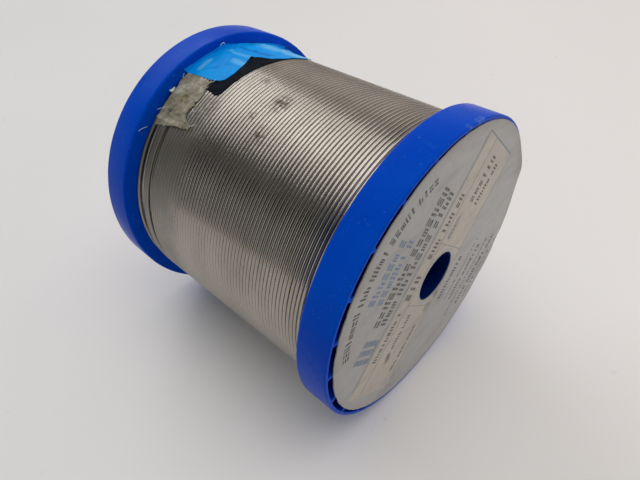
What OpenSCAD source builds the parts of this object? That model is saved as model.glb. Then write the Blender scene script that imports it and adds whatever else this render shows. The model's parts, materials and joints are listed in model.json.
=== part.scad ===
// Spool of flux-cored solder wire: a one-piece moulded reel, eleven level-wound
// layers of wire, a paper label on the front flange and torn tape at the back.
// The axis of the spool is Y, the labelled flange faces -Y and +Z is up. The
// origin is in the middle of the bore, so the spool lies on its rims.
// Angles are in degrees about Y, from +X towards +Z.

/* [Flanges] */
// Outside diameter of both flanges
flange_d = 67.5; // [54:0.5:90]
// Overall width of the reel, over both rims
reel_w = 67.4; // [52:0.1:90]
// Width of one rim, along the axis
rim_w = 7; // [5:0.1:10]
// Thickness of the rim wall
rim_wall = 0.8; // [0.6:0.1:2]
// Chamfer on the edges of the rim wall
rim_chamfer = 0.25; // [0.1:0.05:0.3]
// Thickness of the disc that holds the wire in
disc_t = 1.6; // [1:0.1:3]
// Ribs between the barrel and one rim
rim_ribs = 24; // [12:6:36]
// Thickness of a rim rib
rim_rib_t = 1; // [0.8:0.1:1.6]

/* [Core] */
// Diameter of the bore through the reel
bore_d = 11.2; // [9:0.1:15]
// Wall of the hub tube round the bore
hub_wall = 1.8; // [1.2:0.1:3]
// Wall of the barrel that the wire is wound on
barrel_wall = 1.6; // [1.2:0.1:2.4]
// Spokes between the hub tube and the barrel, on each side
spokes = 6; // [3:1:8]
// Thickness of a spoke
spoke_t = 1.4; // [1:0.1:2]
// Thickness of the web half way along the barrel
web_t = 1.6; // [1:0.1:3]

/* [Wire] */
// Diameter of the solder wire
wire_d = 0.9; // [0.7:0.01:1.2]
// Diameter of the flux core inside the wire
flux_d = 0.34; // [0.2:0.01:0.45]
// Height of the rims above the outside of the winding
fill_gap = 2.75; // [1.5:0.05:6]
// Gap between the top layer and its two loose turns
loose_gap = 1; // [0.5:0.05:2]
// Gap between the loose turns and the last turn, which has sunk beside the flange
sunk_gap = 1.85; // [0.5:0.05:3]
// Clearance round the wire in the hole where it starts
start_clear = 0.25; // [0.1:0.05:0.5]
// Radius of the bend where the wire's start turns along the barrel
start_bend = 1.2; // [1:0.1:2]
// Straight end of the wire inside the barrel
start_end = 5; // [2:0.5:12]

/* [Label] */
// Margin between the edge of the flange and that of a label in the middle of it
label_margin = 1.1; // [0.9:0.05:3]
// Margin between the bore and the hole in the label
label_hole_margin = 0.5; // [0.1:0.05:1.5]
// Thickness of the label
label_t = 0.2; // [0.1:0.05:0.4]
// How far the label sits off centre, along X
label_shift_x = 0.68; // [0:0.02:0.8]
// How far the label sits off centre, along Z
label_shift_z = 0.17; // [0:0.01:0.2]

/* [Tapes] */
// Thickness of the masking tape
masking_t = 0.16; // [0.1:0.02:0.3]
// Thickness of the black tape
black_t = 0.12; // [0.1:0.02:0.3]
// Thickness of the light blue tape
blue_t = 0.14; // [0.1:0.02:0.3]
// How far the blue tape climbs the flange
blue_climb = 1.3; // [0.5:0.1:1.4]

/* [Hidden] */
$fn = 96;

// Gap between pieces that lie against each other
fit = 0.03;
// Part of the wire's diameter that a layer adds when it nests in the one below
nest = 0.866;
// Part of the wire's diameter that stands between two crests of the top layer
crest_web = 0.6;
// Sides of a turn's section where its crest shows
turn_sides = 8;

LAYERS = 11;
layer_names = [for (i = [1:LAYERS - 1]) str("wire_layer_", i < 10 ? "0" : "", i)];

flange_r = flange_d / 2;
half_w = reel_w / 2;
inside_w = half_w - rim_w;
rim_r = flange_r - rim_wall;

wind_r = flange_r - fill_gap;
stack_t = wire_d * (1 + nest * (LAYERS - 1));
barrel_r = wind_r - stack_t;
layer_t = stack_t / LAYERS;
barrel_in_r = barrel_r - barrel_wall;
hub_r = bore_d / 2 + hub_wall;

// The top layer's turns lie side by side from the front flange to the loose part
crest_r = wind_r - wire_d / 2;
first_turn = -inside_w + fit + wire_d / 2;
sunk_turn = inside_w - 2 * fit - wire_d / 2;
sunk_by = wire_d / 2;
loose_turns = [for (i = [2, 1]) sunk_turn - sunk_gap - i * wire_d];
turns = floor((loose_turns[0] - wire_d - loose_gap - first_turn) / wire_d) + 1;

start_hole_d = wire_d + 2 * start_clear;
start_y = inside_w - wire_d;
start_angle = 60;
start_r = barrel_in_r - start_bend - 2 * start_clear;

label_d = flange_d - 2 * label_margin;
label_hole_d = bore_d + 2 * label_hole_margin;

// Tape outlines: each point is a place along Y, counted from the inside of the back
// flange, and an angle from the top of the winding, positive towards +X.
tape_r = wind_r + fit;
masking_outline = [
    [-11.4, -41.4], [-6.6, -43], [-1.8, -45.2], [-1.3, -43], [-1.1, -33],
    [-0.5, -30.5], [-0.9, -28], [-0.3, -26], [-0.3, -22.6], [-3.2, -20.9],
    [-5.7, -20.4], [-7.5, -21.2], [-8.2, -24.4], [-8.7, -28], [-8.4, -33],
    [-8.1, -36], [-9.2, -38], [-11.2, -39.6]
];
black_outline = [
    [-12.5, -23], [-11.6, -24.6], [-8.5, -24], [-7.9, -21], [-4, -20.1],
    [-4, 12], [-12.9, 12], [-13.1, 4.5], [-12.8, -6], [-12.7, -14]
];
blue_outline = [
    [-10, -16.7], [-9.2, -18], [-7.4, -19.2], [-2.6, -20], [0, -20.4],
    [0, 34], [-6, 36], [-11, 31], [-13.2, 22], [-12.9, 10],
    [-11.4, 5.6], [-8.6, 3], [-7.8, 0.2], [-9.2, -5], [-10.2, -12]
];

// Turns a solid made along +Z so that it lies along +Y, starting at y
module along_y(y) {
    translate([0, y, 0])
        rotate([-90, 0, 0])
            children();
}

// Tube or disc with a hole, about the spool's axis
module ring(r_out, r_in, y, w) {
    along_y(y)
        linear_extrude(w)
            difference() {
                circle(r_out);
                circle(r_in);
            }
}

// Flat plate standing radially between two radii, turned to an angle
module radial_plate(r_in, r_out, y, w, t, angle) {
    rotate([0, -angle, 0])
        translate([r_in, y, -t / 2])
            cube([r_out - r_in, w, t]);
}

// Disc of a flange, against the wire at y = 0; in the section x is the radius
module flange_disc() {
    color("royalblue")
        along_y(0)
            rotate_extrude()
                polygon([
                    [barrel_r, 0],
                    [flange_r - rim_chamfer, 0],
                    [flange_r, rim_chamfer],
                    [flange_r, disc_t],
                    [barrel_r, disc_t]
                ]);
}

// Wall round the edge of a flange, which the spool lies on
module flange_rim() {
    color("royalblue")
        along_y(0)
            rotate_extrude()
                polygon([
                    [rim_r, disc_t],
                    [flange_r, disc_t],
                    [flange_r, rim_w - rim_chamfer],
                    [flange_r - rim_chamfer, rim_w],
                    [rim_r, rim_w]
                ]);
}

// Ribs that stand on the disc between the barrel and the rim
module flange_ribs() {
    color("royalblue")
        intersection() {
            ring(rim_r, barrel_r, disc_t, rim_w - disc_t);
            for (i = [0:rim_ribs - 1])
                radial_plate(barrel_r - 1, flange_r, disc_t, rim_w - disc_t, rim_rib_t,
                             i * 360 / rim_ribs);
        }
}

// Puts a part of a flange at the back of the reel
module at_back() {
    translate([0, inside_w, 0])
        children();
}

// Puts a part of a flange at the front of the reel, facing the other way
module at_front() {
    mirror([0, 1, 0])
        at_back()
            children();
}

module barrel() {
    color("royalblue")
        difference() {
            ring(barrel_r, barrel_in_r, -half_w, reel_w);
            rotate([0, -start_angle, 0])
                translate([barrel_in_r - 1, start_y, 0])
                    rotate([0, 90, 0])
                        cylinder(h = barrel_wall + 2, d = start_hole_d);
        }
}

module hub_tube() {
    color("royalblue")
        ring(hub_r, bore_d / 2, -half_w, reel_w);
}

module centre_web() {
    color("royalblue")
        ring(barrel_in_r, hub_r, -web_t / 2, web_t);
}

// Spokes on one side of the centre web, from y over a width w
module spoke_set(y, w) {
    color("royalblue")
        intersection() {
            ring(barrel_in_r, hub_r, y, w);
            for (i = [0:spokes - 1])
                radial_plate(hub_r - 1, barrel_in_r + 1, y, w, spoke_t,
                             (i + 0.5) * 360 / spokes);
        }
}

module front_spokes() {
    spoke_set(-half_w, half_w - web_t / 2);
}

module back_spokes() {
    spoke_set(web_t / 2, half_w - web_t / 2);
}

// The start of the wire: in through the barrel, round a bend and along it to the back
module start_path(r_out, r_in) {
    straight = barrel_r - fit - start_r - start_bend;
    rotate([0, -start_angle, 0]) {
        translate([start_r + start_bend, start_y, 0])
            rotate([0, 90, 0])
                tube(r_out, r_in, straight);
        translate([start_r + start_bend, start_y + start_bend, 0])
            rotate([0, 0, 180])
                rotate_extrude(angle = 90)
                    translate([start_bend, 0])
                        difference() {
                            circle(r_out);
                            if (r_in > 0) circle(r_in);
                        }
        along_y(start_y + start_bend)
            translate([start_r, 0, 0])
                tube(r_out, r_in, start_end);
    }
}

// Round bar, or a tube where r_in isn't zero
module tube(r_out, r_in, h) {
    linear_extrude(h)
        difference() {
            circle(r_out);
            if (r_in > 0) circle(r_in);
        }
}

module wire_start() {
    color("silver")
        start_path(wire_d / 2, flux_d / 2);
}

module flux_core() {
    color("goldenrod")
        start_path(flux_d / 2 - fit / 3, 0);
}

// A full layer of turns, which the next layer covers
module wire_layer(i) {
    color("silver")
        ring(barrel_r + i * layer_t, barrel_r + (i - 1) * layer_t + fit,
             -inside_w + fit, 2 * (inside_w - fit));
}

// Turns whose crests show: facetted on the outside, with an edge along each crest, and
// flat where they lie on the layer below
module open_turns(places, r) {
    flat_r = barrel_r + (LAYERS - 1) * layer_t + fit;
    span = places[len(places) - 1] - places[0];
    color("silver")
        along_y(0)
            rotate_extrude()
                intersection() {
                    union() {
                        for (y = places)
                            translate([r, y])
                                circle(d = wire_d, $fn = turn_sides);
                        if (span > 0)
                            translate([flat_r, places[0]])
                                square([r - wire_d / 2 + crest_web * wire_d - flat_r, span]);
                    }
                    translate([flat_r, -half_w])
                        square([wind_r, reel_w]);
                }
}

module wire_layer_11() {
    open_turns([for (i = [0:turns - 1]) first_turn + i * wire_d], crest_r);
}

module wire_loose_turns() {
    open_turns(loose_turns, crest_r);
    open_turns([sunk_turn], crest_r - sunk_by);
}

module front_label() {
    color("gainsboro")
        translate([label_shift_x, 0, label_shift_z])
            along_y(-half_w - label_t)
                linear_extrude(label_t)
                    difference() {
                        circle(d = label_d);
                        translate([-label_shift_x, label_shift_z])
                            circle(d = label_hole_d);
                    }
}

// Upright block over the top of the winding, whose plan is a tape outline
module over_outline(outline) {
    linear_extrude(flange_r + 1)
        polygon([for (p = outline) [tape_r * sin(p[1]), inside_w + p[0]]]);
}

module masking_tape() {
    color("tan")
        intersection() {
            ring(tape_r + masking_t, tape_r, 0, inside_w - fit);
            over_outline(masking_outline);
        }
}

module black_tape() {
    color("black")
        intersection() {
            ring(tape_r + black_t, tape_r, 0, inside_w - fit);
            over_outline(black_outline);
        }
}

// The blue tape lies over the black one and turns up against the flange
module blue_tape() {
    under_r = tape_r + black_t + fit;
    color("deepskyblue")
        intersection() {
            union() {
                ring(under_r + blue_t, under_r, 0, inside_w - fit);
                ring(under_r + blue_climb, under_r, inside_w - fit - blue_t, blue_t);
            }
            over_outline(blue_outline);
        }
}

at_front() flange_disc();  // front_disc
at_front() flange_rim();  // front_rim
at_front() flange_ribs();  // front_rim_ribs
at_back() flange_disc();  // back_disc
at_back() flange_rim();  // back_rim
at_back() flange_ribs();  // back_rim_ribs
barrel();
hub_tube();
centre_web();
front_spokes();
back_spokes();
wire_start();
flux_core();
for (i = [1:LAYERS - 1])
    wire_layer(i);
wire_layer_11();
wire_loose_turns();
front_label();
masking_tape();
black_tape();
blue_tape();
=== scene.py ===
import json
import math
import random
import bmesh
import bpy
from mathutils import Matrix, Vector, noise
from mathutils.geometry import delaunay_2d_cdt


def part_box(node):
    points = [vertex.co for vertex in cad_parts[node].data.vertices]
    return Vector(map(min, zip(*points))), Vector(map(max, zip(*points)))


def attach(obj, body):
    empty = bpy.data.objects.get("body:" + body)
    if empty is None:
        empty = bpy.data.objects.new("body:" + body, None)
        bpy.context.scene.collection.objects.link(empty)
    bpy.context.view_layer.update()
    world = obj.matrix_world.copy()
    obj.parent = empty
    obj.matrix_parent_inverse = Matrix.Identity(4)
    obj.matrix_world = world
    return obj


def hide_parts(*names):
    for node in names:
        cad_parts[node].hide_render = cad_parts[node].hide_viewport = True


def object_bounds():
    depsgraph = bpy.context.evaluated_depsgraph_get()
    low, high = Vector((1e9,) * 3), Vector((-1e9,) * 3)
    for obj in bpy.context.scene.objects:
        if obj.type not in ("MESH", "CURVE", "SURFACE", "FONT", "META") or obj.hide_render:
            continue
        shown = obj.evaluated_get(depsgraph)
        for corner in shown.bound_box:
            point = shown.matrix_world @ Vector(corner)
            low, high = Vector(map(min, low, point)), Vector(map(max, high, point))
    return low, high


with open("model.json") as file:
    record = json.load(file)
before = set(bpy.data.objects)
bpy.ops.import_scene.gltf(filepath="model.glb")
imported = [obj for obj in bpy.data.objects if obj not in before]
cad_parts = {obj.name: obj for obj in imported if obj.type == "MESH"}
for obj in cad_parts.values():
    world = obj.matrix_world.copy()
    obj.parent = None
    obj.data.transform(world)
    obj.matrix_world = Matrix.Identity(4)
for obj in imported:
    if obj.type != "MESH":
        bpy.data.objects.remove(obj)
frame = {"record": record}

cad_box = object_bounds()
MM = 0.001

# ---------------------------------------------------------------------------
# Camera: a hand-held view from the front left, looking down on the spool.
# The spool's own axis is Y and it lies on its rims, so +Z is up.
# ---------------------------------------------------------------------------
bpy.ops.object.select_all(action="DESELECT")
camera_at = Vector((-66.7, -62.7, 72.2)) * MM
looks_along = Vector((0.5470, 0.5002, -0.6712))
bpy.ops.object.camera_add(location=camera_at, rotation=looks_along.to_track_quat("-Z", "Y").to_euler())
camera = bpy.context.object
camera.name = "camera"
camera.data.sensor_width = 36.0
camera.data.lens = 27.19
camera.data.clip_start = 0.001
camera.data.clip_end = 20.0
bpy.context.scene.camera = camera

# ---------------------------------------------------------------------------
# Light: a wide window-like softbox behind the spool and a large one overhead,
# in a room that is pale behind on the right and dim on the left.
# ---------------------------------------------------------------------------
def softbox(name, place, size, power, tint):
    aim = (-Vector(place)).to_track_quat("-Z", "Y").to_euler()
    bpy.ops.object.light_add(type="AREA", location=place, rotation=aim)
    lamp = bpy.context.object
    lamp.name = name
    lamp.data.shape = "RECTANGLE"
    lamp.data.size = size[0]
    lamp.data.size_y = size[1]
    lamp.data.energy = power
    lamp.data.color = tint


softbox("window_light", (0.1, 1.25, 1.1), (1.6, 0.5), 7.5, (0.96, 0.98, 1.0))
softbox("ceiling_light", (0.12, -0.2, 2.0), (1.75, 2.4), 18.3, (1.0, 0.985, 0.965))
softbox("right_light", (1.7, -1.5, 1.3), (2.2, 1.8), 5.8, (1.0, 0.97, 0.94))


def add_node(tree, kind, **settings):
    node = tree.nodes.new(kind)
    for key, value in settings.items():
        setattr(node, key, value)
    return node


def ramp_of(tree, value, stops):
    """Colour ramp with (place, colour) stops; a plain number stands for a grey."""
    ramp = add_node(tree, "ShaderNodeValToRGB")
    points = ramp.color_ramp.elements
    while len(points) < len(stops):
        points.new(0.5)
    for point, (place, colour) in zip(points, stops):
        point.position = place
        point.color = (colour, colour, colour, 1.0) if isinstance(colour, float) else (*colour, 1.0)
    tree.links.new(value, ramp.inputs["Fac"])
    return ramp.outputs["Color"]


def math_of(tree, operation, a, b=0.0):
    node = add_node(tree, "ShaderNodeMath", operation=operation)
    for socket, value in zip(node.inputs, (a, b)):
        if isinstance(value, (int, float)):
            socket.default_value = value
        else:
            tree.links.new(value, socket)
    return node.outputs["Value"]


def mix_of(tree, share, a, b, blend="MIX"):
    node = add_node(tree, "ShaderNodeMix", data_type="RGBA", blend_type=blend)
    for socket, value in zip((node.inputs[0], node.inputs[6], node.inputs[7]), (share, a, b)):
        if isinstance(value, (int, float)):
            socket.default_value = value
        elif isinstance(value, tuple):
            socket.default_value = (*value, 1.0)
        else:
            tree.links.new(value, socket)
    return node.outputs[2]


def times(tree, a, b):
    return math_of(tree, "MULTIPLY", a, b)


def share_along(tree, vector, way):
    dot = add_node(tree, "ShaderNodeVectorMath", operation="DOT_PRODUCT")
    tree.links.new(vector, dot.inputs[0])
    dot.inputs[1].default_value = way
    return dot.outputs["Value"]


world = bpy.data.worlds.new("room")
bpy.context.scene.world = world
world.use_nodes = True
room = world.node_tree
sky_way = add_node(room, "ShaderNodeTexCoord").outputs["Generated"]
height = share_along(room, sky_way, (0.0, 0.0, 1.0))
room_light = ramp_of(room, height, [(0.0, 0.10), (0.2, 0.045), (0.6, 0.04), (0.85, 0.34), (1.0, 0.5)])
# What stands round the spool: the way to it, how narrow it is, how high it reaches, and its colour
surroundings = [
    ((0.92, 0.39, 0.0), (0.25, 0.45), (0.72, 0.82), (0.43, 0.395, 0.375)),  # pale wall on the right
    ((-0.3, 0.95, 0.0), (0.75, 0.86), (0.20, 0.30), (0.75, 0.77, 0.78)),  # lit strip low down behind
    ((-0.1, -0.99, 0.0), (0.3, 0.8), (0.30, 0.45), (0.40, 0.40, 0.39)),  # grey room in front
]
for way, (outside, inside), (full, gone), colour in surroundings:
    across = ramp_of(room, share_along(room, sky_way, way), [(outside, 0.0), (inside, 1.0)])
    upwards = ramp_of(room, height, [(full, 1.0), (gone, 0.0)])
    room_light = mix_of(room, times(room, across, upwards), room_light, colour)
# Past the floor's edge a plain pale backdrop is seen, and not the room itself
seen = add_node(room, "ShaderNodeLightPath").outputs["Is Camera Ray"]
room_light = mix_of(room, seen, room_light, (0.62, 0.61, 0.60))
room.links.new(room_light, room.nodes["Background"].inputs["Color"])
bpy.context.scene.view_settings.view_transform = "Standard"


# ---------------------------------------------------------------------------
# Floor: a plain pale board, a little uneven in tone, with a few faint specks. Painted light makes it
# lighter and warmer towards the right front, and it glows faintly to lighten the shadows on it.
# ---------------------------------------------------------------------------
def new_material(name):
    """New material, with its node tree and its shader."""
    material = bpy.data.materials.new(name)
    material.use_nodes = True
    tree = material.node_tree
    return material, tree, tree.nodes["Principled BSDF"]


def place_of(tree):
    return add_node(tree, "ShaderNodeTexCoord").outputs["Object"]


def noise_of(tree, scale, detail=4.0, rough=0.55, stretch=(1.0, 1.0, 1.0)):
    """Noise on Object coordinates, as a value from 0 to 1."""
    mapping = add_node(tree, "ShaderNodeMapping")
    mapping.inputs["Scale"].default_value = stretch
    tree.links.new(place_of(tree), mapping.inputs["Vector"])
    field = add_node(tree, "ShaderNodeTexNoise")
    field.inputs["Scale"].default_value = scale
    field.inputs["Detail"].default_value = detail
    field.inputs["Roughness"].default_value = rough
    tree.links.new(mapping.outputs["Vector"], field.inputs["Vector"])
    return field.outputs["Fac"]


def coat(tree, shader, colour, gloss, relief, strength, depth, specular=0.5):
    """Gives a shader its colour, its roughness (one number or a socket) and its bump."""
    tree.links.new(colour, shader.inputs["Base Color"])
    shader.inputs["Specular IOR Level"].default_value = specular
    if isinstance(gloss, float):
        shader.inputs["Roughness"].default_value = gloss
    else:
        tree.links.new(gloss, shader.inputs["Roughness"])
    bump = add_node(tree, "ShaderNodeBump")
    bump.inputs["Strength"].default_value = strength
    bump.inputs["Distance"].default_value = depth
    tree.links.new(relief, bump.inputs["Height"])
    tree.links.new(bump.outputs["Normal"], shader.inputs["Normal"])


rim_bottom = cad_box[0][2]
bpy.ops.mesh.primitive_plane_add(size=3.0, location=(1.02, 0.9, rim_bottom))
floor = bpy.context.object
floor.name = "floor"
board, tree, shader = new_material("pale_board")
cloud = noise_of(tree, 3.0, 3.0)
speck = noise_of(tree, 260.0, 2.0, 0.4)
tone = ramp_of(tree, cloud, [(0.35, (0.72, 0.715, 0.71)), (0.7, (0.77, 0.755, 0.745))])
dots = ramp_of(tree, speck, [(0.2, 0.86), (0.27, 1.0)])
# Painted light: the board is coloured lighter and warmer towards the right front, where the lamps light
# it more
board_side = share_along(tree, place_of(tree), (2.0, -2.4, 0.0))
painted_light_side = ramp_of(tree, math_of(tree, "ADD", board_side, 0.5), [(0.3, 0.0), (0.95, 1.0)])
tone = mix_of(tree, painted_light_side, tone, (0.87, 0.835, 0.815))
coat(tree, shader, mix_of(tree, 1.0, tone, dots, "MULTIPLY"), 0.5, speck, 0.05, 0.0002, 0.3)
# Painted light: the board glows faintly, though it is no lamp, so that the shadows on it are lighter
shader.inputs["Emission Color"].default_value = (0.95, 0.98, 1.0, 1.0)
shader.inputs["Emission Strength"].default_value = 0.045
floor.data.materials.append(board)


# ---------------------------------------------------------------------------
# Reel plastic: one injection moulding in royal-blue polystyrene, so every
# member below shares it. Satin, with a fine orange peel, rub marks and dust.
# ---------------------------------------------------------------------------
def distance_share(tree, spot, reach):
    """Distance from a place, as a share of a reach."""
    away = add_node(tree, "ShaderNodeVectorMath", operation="DISTANCE")
    tree.links.new(place_of(tree), away.inputs[0])
    away.inputs[1].default_value = spot
    return math_of(tree, "DIVIDE", away.outputs["Value"], reach)


def spot_mask(tree, spot, reach, torn_scale=900.0, bare=0.40):
    """Ragged spot round a place: 1 in the middle, 0 outside its reach, with bare gaps in it."""
    near = ramp_of(tree, distance_share(tree, spot, reach), [(0.3, 1.0), (1.0, 0.0)])
    torn = ramp_of(tree, noise_of(tree, torn_scale, 5.0, 0.7), [(bare, 0.0), (bare + 0.2, 1.0)])
    return times(tree, near, torn)


# Places on the front rim where the plastic has been knocked white, with their reach
KNOCKS = [((0.0042, -0.0336, 0.0335), 0.0012), ((0.0056, -0.0331, 0.0333), 0.0009),
          ((0.0010, -0.0334, 0.0337), 0.0009)]


def reel_plastic(name="reel_blue_plastic", bore=0.0):
    material, tree, shader = new_material(name)
    depth = noise_of(tree, 45.0, 5.0)
    body = ramp_of(tree, depth, [(0.3, (0.0008, 0.056, 0.54)), (0.7, (0.0012, 0.082, 0.64))])
    rubs = noise_of(tree, 420.0, 6.0, 0.7, (1.0, 0.18, 1.0))
    rubbed = ramp_of(tree, rubs, [(0.60, 0.0), (0.78, 0.4)])
    colour = mix_of(tree, rubbed, body, (0.035, 0.21, 0.66))
    dust = ramp_of(tree, noise_of(tree, 1100.0, 3.0, 0.6), [(0.66, 0.0), (0.76, 0.35)])
    colour = mix_of(tree, dust, colour, (0.16, 0.31, 0.60))
    for spot, reach in KNOCKS:
        knock = times(tree, spot_mask(tree, spot, reach, 1500.0), 0.45)
        colour = mix_of(tree, knock, colour, (0.30, 0.42, 0.72))
    # Painted shade: inside the bore the colour is darkened, as the bore lies in shade
    if bore:
        flat = add_node(tree, "ShaderNodeVectorMath", operation="MULTIPLY")
        flat.inputs[1].default_value = (1.0, 0.0, 1.0)
        tree.links.new(place_of(tree), flat.inputs[0])
        off_axis = add_node(tree, "ShaderNodeVectorMath", operation="LENGTH")
        tree.links.new(flat.outputs["Vector"], off_axis.inputs[0])
        share = math_of(tree, "DIVIDE", off_axis.outputs["Value"], bore)
        inside = ramp_of(tree, share, [(0.985, 0.18), (1.0, 1.0)])
        colour = mix_of(tree, 1.0, colour, inside, "MULTIPLY")
    satin = ramp_of(tree, noise_of(tree, 130.0, 4.0), [(0.3, 0.24), (0.75, 0.40)])
    coat(tree, shader, colour, satin, noise_of(tree, 900.0, 3.0), 0.12, 0.00012, 0.05)
    shader.inputs["Specular Tint"].default_value = (0.05, 0.45, 1.0, 1.0)
    return material


PLASTIC = reel_plastic()


def select_only(*pieces):
    bpy.ops.object.select_all(action="DESELECT")
    for piece in pieces:
        piece.select_set(True)
    bpy.context.view_layer.objects.active = pieces[0]


def settle(piece, name):
    """Names a new piece and moves its place into its mesh."""
    piece.name = name
    piece.data.name = name
    select_only(piece)
    bpy.ops.object.transform_apply(location=True, rotation=True, scale=True)


def pick(piece, kind, test):
    """In edit mode, selects just the faces, edges or vertices that pass the test."""
    bpy.ops.mesh.select_mode(type=kind)
    bpy.ops.mesh.select_all(action="DESELECT")
    mesh = bmesh.from_edit_mesh(piece.data)
    for part in {"FACE": mesh.faces, "EDGE": mesh.edges, "VERT": mesh.verts}[kind]:
        part.select = test(part)
    mesh.select_flush_mode()
    bmesh.update_edit_mesh(piece.data)


def modify(piece, kind, **settings):
    """Adds a modifier to a piece, sets it and applies it."""
    select_only(piece)
    bpy.ops.object.modifier_add(type=kind)
    modifier = piece.modifiers[-1]
    for key, value in settings.items():
        setattr(modifier, key, value)
    bpy.ops.object.modifier_apply(modifier=modifier.name)


def round_edges(piece, width, segments):
    modify(piece, "BEVEL", width=width, segments=segments, limit_method="ANGLE",
           angle_limit=math.radians(35.0))


def finish(piece, material, node_names):
    """Smooths a piece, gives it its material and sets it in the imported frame."""
    piece.data.materials.clear()
    piece.data.materials.append(material)
    select_only(piece)
    bpy.ops.object.shade_smooth_by_angle(angle=math.radians(32.0))
    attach(piece, "root")
    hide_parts(*node_names)


def tube_piece(name, r_out, r_in, y_from, y_to, sides):
    """Tube along Y: a cylinder whose two ends are inset, opened and bridged."""
    bpy.ops.mesh.primitive_cylinder_add(
        vertices=sides, radius=r_out, depth=y_to - y_from,
        location=(0.0, (y_from + y_to) / 2, 0.0), rotation=(math.pi / 2, 0.0, 0.0))
    piece = bpy.context.object
    settle(piece, name)
    bpy.ops.object.mode_set(mode="EDIT")
    pick(piece, "FACE", lambda f: abs(f.normal.y) > 0.9)
    bpy.ops.mesh.inset(thickness=(r_out - r_in) * math.cos(math.pi / sides))
    bpy.ops.mesh.delete(type="FACE")
    pick(piece, "EDGE", lambda e: e.is_boundary)
    bpy.ops.mesh.bridge_edge_loops()
    bpy.ops.mesh.select_all(action="SELECT")
    bpy.ops.mesh.normals_make_consistent(inside=False)
    bpy.ops.object.mode_set(mode="OBJECT")
    return piece


# ---------------------------------------------------------------------------
# Flanges: the two ends of the moulding. Each is a thin disc against the wire,
# a tall rim round it and 24 ribs behind it, drawn a little so they release.
# ---------------------------------------------------------------------------
flange_r, half_w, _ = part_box("back_rim")[1]
disc_low, disc_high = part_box("back_disc")
inside_w = disc_low[1]
rim_w = half_w - inside_w
disc_t = disc_high[1] - inside_w
pocket_deep = rim_w - disc_t
rim_wall = 0.8 * MM
barrel_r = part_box("barrel")[1][0]
bury = 0.3 * MM  # how far a member runs into the next one of the same moulding
RIM_SIDES = 360
RIBS = 24
rib_t = 1.1 * MM
PARTING = math.radians(-49.0)


def flange_piece(name, side):
    y_wire = side * inside_w
    y_out = side * half_w
    y_mid = (y_wire + y_out) / 2
    bpy.ops.mesh.primitive_cylinder_add(
        vertices=RIM_SIDES, radius=flange_r, depth=rim_w,
        location=(0.0, y_mid, 0.0), rotation=(math.pi / 2, 0.0, 0.0))
    disc = bpy.context.object
    settle(disc, name)
    bpy.ops.object.mode_set(mode="EDIT")
    pick(disc, "FACE", lambda f: f.normal.y * side > 0.9)
    bpy.ops.mesh.inset(thickness=rim_wall)
    bpy.ops.mesh.extrude_region_move(TRANSFORM_OT_translate={"value": (0.0, -side * pocket_deep, 0.0)})
    bpy.ops.mesh.inset(thickness=flange_r - rim_wall - barrel_r + bury)
    bpy.ops.mesh.delete(type="FACE")
    pick(disc, "FACE", lambda f: f.normal.y * side < -0.9)
    bpy.ops.mesh.inset(thickness=flange_r - barrel_r + bury)
    bpy.ops.mesh.delete(type="FACE")
    pick(disc, "EDGE", lambda e: e.is_boundary)
    bpy.ops.mesh.bridge_edge_loops()
    bpy.ops.mesh.select_all(action="SELECT")
    bpy.ops.mesh.normals_make_consistent(inside=False)

    def at_edge(edge, r, y):
        return all(abs(math.hypot(v.co.x, v.co.z) - r) < 0.05 * MM and abs(v.co.y - y) < 0.01 * MM
                   for v in edge.verts)

    for r, y, width in ((flange_r, y_wire, 0.5 * MM), (flange_r, y_out, 0.32 * MM),
                        (flange_r - rim_wall, y_out, 0.12 * MM)):
        pick(disc, "EDGE", lambda e: at_edge(e, r, y))
        bpy.ops.mesh.bevel(offset=width, segments=5, profile=0.5, affect="EDGES")
    pick(disc, "EDGE", lambda e: at_edge(e, flange_r - rim_wall, side * (inside_w + disc_t)))
    bpy.ops.mesh.bevel(offset=0.5 * MM, segments=4, profile=0.5, affect="EDGES")
    bpy.ops.object.mode_set(mode="OBJECT")

    rib_long = flange_r - rim_wall - barrel_r + 2 * bury
    rib_mid = (barrel_r - bury + rib_long / 2, side * (half_w - pocket_deep / 2), 0.0)
    bpy.ops.mesh.primitive_cube_add(size=1.0, location=rib_mid,
                                    scale=(rib_long, pocket_deep + 2 * bury, rib_t))
    rib = bpy.context.object
    settle(rib, name + "_rib")
    bpy.ops.object.mode_set(mode="EDIT")
    pick(rib, "VERT", lambda v: v.co.y * side > half_w)
    bpy.ops.transform.translate(value=(0.0, -side * bury, 0.0))
    bpy.ops.transform.resize(value=(1.0, 1.0, 0.8), center_override=(0.0, side * half_w, 0.0))
    bpy.ops.object.mode_set(mode="OBJECT")
    round_edges(rib, 0.12 * MM, 2)
    ribs = [rib]
    for i in range(1, RIBS):
        select_only(rib)
        bpy.ops.object.duplicate()
        copy = bpy.context.object
        bpy.ops.transform.rotate(value=i * math.tau / RIBS, orient_axis="Y",
                                 center_override=(0.0, 0.0, 0.0))
        settle(copy, "%s_rib_%d" % (name, i))
        ribs.append(copy)

    # Flash where the halves of the mould met, across the rim on both sides
    flashes = []
    for angle in (PARTING, PARTING + math.pi) if side > 0 else ():
        at_rim = (flange_r * math.sin(angle), y_mid, flange_r * math.cos(angle))
        bpy.ops.mesh.primitive_cube_add(size=1.0, location=at_rim, rotation=(0.0, angle, 0.0),
                                        scale=(0.14 * MM, rim_w - 0.6 * MM, 0.09 * MM))
        settle(bpy.context.object, name + "_flash")
        flashes.append(bpy.context.object)
        round_edges(flashes[-1], 0.03 * MM, 1)
    select_only(disc, *ribs, *flashes)
    bpy.ops.object.join()
    return disc


front = flange_piece("reel_front_flange", -1)
finish(front, PLASTIC, ["front_disc", "front_rim", "front_rim_ribs"])
back = flange_piece("reel_back_flange", 1)
finish(back, PLASTIC, ["back_disc", "back_rim", "back_rim_ribs"])


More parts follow.
